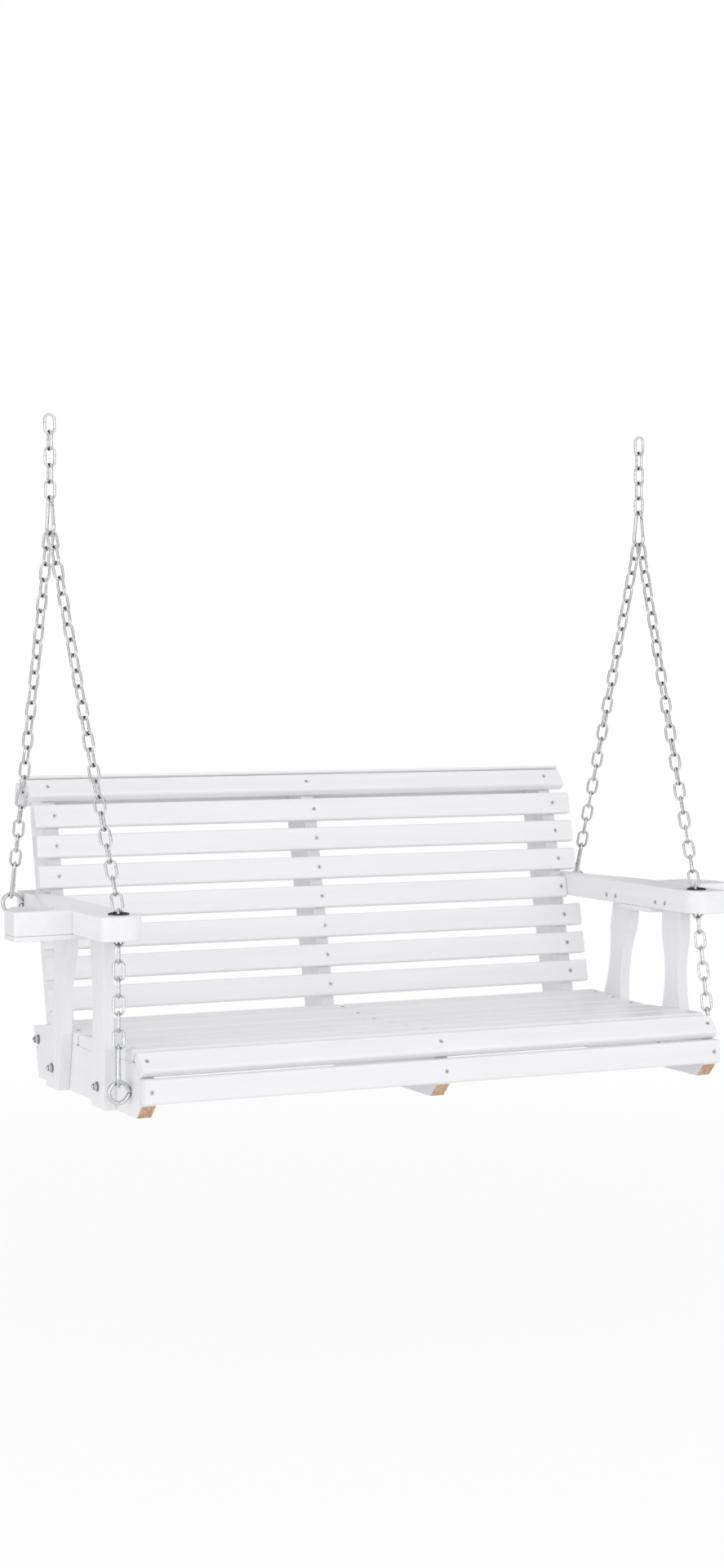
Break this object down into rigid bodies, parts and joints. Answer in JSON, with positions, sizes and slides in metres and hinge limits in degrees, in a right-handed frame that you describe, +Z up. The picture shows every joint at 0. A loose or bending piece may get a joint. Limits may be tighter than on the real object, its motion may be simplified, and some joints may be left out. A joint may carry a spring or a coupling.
{
  "type": "porch swing seat",
  "caption": "White slatted two-person bench swing on side chains gathered by snap hooks, with waisted arm posts and a cup holder outside each arm.",
  "frame": {"origin": "midway between the two hanging points, each the centre of the topmost link's lower wire", "axes": "+X to the right as seen from the front, along the slats; -Y to the front of the seat; +Z up"},
  "size_m": [1.498, 0.7063, 1.2458],
  "materials": {
    "paint": "white semi-gloss paint",
    "zinc": "bright zinc plate",
    "screw": "bright zinc plate",
    "grommet": "satin black"
  },
  "bodies": {
    "hangers": {"hanging_links": "zinc"},
    "left_second_link": {"second_link_left": "zinc"},
    "left_upper_chain": {"upper_chain_left": "zinc"},
    "left_last_link": {"last_link_left": "zinc"},
    "right_second_link": {"second_link_right": "zinc"},
    "right_upper_chain": {"upper_chain_right": "zinc"},
    "right_last_link": {"last_link_right": "zinc"},
    "left_front_gate": {"front_gate_left": "zinc"},
    "left_rear_gate": {"rear_gate_left": "zinc"},
    "left_apex_gate": {"apex_gate_left": "zinc"},
    "right_front_gate": {"front_gate_right": "zinc"},
    "right_rear_gate": {"rear_gate_right": "zinc"},
    "right_apex_gate": {"apex_gate_right": "zinc"},
    "seat": {"apron_slat": "paint", "arm_left": "paint", "arm_right": "paint", "arm_screws": "screw", "back_slat_1": "paint", "back_slat_2": "paint", "back_slat_3": "paint", "back_slat_4": "paint", "back_slat_5": "paint", "back_slat_6": "paint", "back_slat_7": "paint", "back_support_centre": "paint", "back_support_left": "paint", "back_support_right": "paint", "carriage_bolts": "zinc", "cup_holder_left": "paint", "cup_holder_right": "paint", "eye_bolts": "zinc", "front_chains": "zinc", "front_edge_slat": "paint", "front_post_left": "paint", "front_post_right": "paint", "gate_pins": "zinc", "grommets": "grommet", "hex_nuts": "zinc", "holder_plate_left": "paint", "holder_plate_right": "paint", "rear_chains": "zinc", "rear_post_left": "paint", "rear_post_right": "paint", "seat_slat_1": "paint", "seat_slat_2": "paint", "seat_slat_3": "paint", "seat_slat_4": "paint", "seat_slat_5": "paint", "seat_slat_6": "paint", "seat_support_centre": "paint", "seat_support_left": "paint", "seat_support_right": "paint", "slat_screws": "screw", "snap_hooks": "zinc", "top_cap_board": "paint", "top_rail_slat": "paint", "top_rear_slat": "paint", "washers": "zinc"}
  },
  "joints": [
    {"name": "swing", "type": "hinge", "parent": "hangers", "child": "left_second_link", "pos_m": [-0.624, 0, 0], "axis": [1, 0, 0], "range_deg": [-20, 20]},
    {"name": "sway", "type": "hinge", "parent": "left_second_link", "child": "left_upper_chain", "pos_m": [-0.624, 0, -0.03], "axis": [0, 1, 0], "range_deg": [-7, 7]},
    {"name": "level", "type": "hinge", "parent": "left_upper_chain", "child": "left_last_link", "pos_m": [-0.624, 0, -0.09], "axis": [0, 1, 0], "range_deg": [-7, 7]},
    {"name": "tilt", "type": "hinge", "parent": "left_last_link", "child": "seat", "pos_m": [-0.624, 0, -0.12], "axis": [1, 0, 0], "range_deg": [-12, 12]},
    {"name": "right_swing", "type": "hinge", "parent": "hangers", "child": "right_second_link", "pos_m": [0.624, 0, 0], "axis": [1, 0, 0], "range_deg": [-20, 20]},
    {"name": "right_sway", "type": "hinge", "parent": "right_second_link", "child": "right_upper_chain", "pos_m": [0.624, 0, -0.03], "axis": [0, 1, 0], "range_deg": [-7, 7]},
    {"name": "right_level", "type": "hinge", "parent": "right_upper_chain", "child": "right_last_link", "pos_m": [0.624, 0, -0.09], "axis": [0, 1, 0], "range_deg": [-7, 7]},
    {"name": "left_front_gate_hinge", "type": "hinge", "parent": "seat", "child": "left_front_gate", "pos_m": [-0.60209, -0.28776, -1.10123], "axis": [-0.9052, 0.4249, -0.0058], "range_deg": [0, 25], "stiffness_Nm_per_rad": 0.02, "springref_deg": -11.46},
    {"name": "left_rear_gate_hinge", "type": "hinge", "parent": "seat", "child": "left_rear_gate", "pos_m": [-0.6186, 0.23519, -0.81115], "axis": [-0.9063, 0.3998, 0.1371], "range_deg": [0, 25], "stiffness_Nm_per_rad": 0.02, "springref_deg": -11.46},
    {"name": "left_apex_gate_hinge", "type": "hinge", "parent": "seat", "child": "left_apex_gate", "pos_m": [-0.62321, -0.00907, -0.12917], "axis": [0.9962, 0.0872, 0], "range_deg": [0, 25], "stiffness_Nm_per_rad": 0.02, "springref_deg": -11.46},
    {"name": "right_front_gate_hinge", "type": "hinge", "parent": "seat", "child": "right_front_gate", "pos_m": [0.60977, -0.28771, -1.10086], "axis": [-0.9052, 0.4144, -0.0941], "range_deg": [0, 25], "stiffness_Nm_per_rad": 0.02, "springref_deg": -11.46},
    {"name": "right_rear_gate_hinge", "type": "hinge", "parent": "seat", "child": "right_rear_gate", "pos_m": [0.62622, 0.23519, -0.81117], "axis": [-0.9063, 0.3984, 0.1411], "range_deg": [0, 25], "stiffness_Nm_per_rad": 0.02, "springref_deg": -11.46},
    {"name": "right_apex_gate_hinge", "type": "hinge", "parent": "seat", "child": "right_apex_gate", "pos_m": [0.62479, -0.00907, -0.12917], "axis": [0.9962, 0.0872, 0], "range_deg": [0, 25], "stiffness_Nm_per_rad": 0.02, "springref_deg": -11.46}
  ],
  "couplings": [
    {"joint": "right_swing", "follows": "swing", "ratio": 1},
    {"joint": "right_sway", "follows": "sway", "ratio": 1},
    {"joint": "level", "follows": "sway", "ratio": -1},
    {"joint": "right_level", "follows": "sway", "ratio": -1}
  ]
}
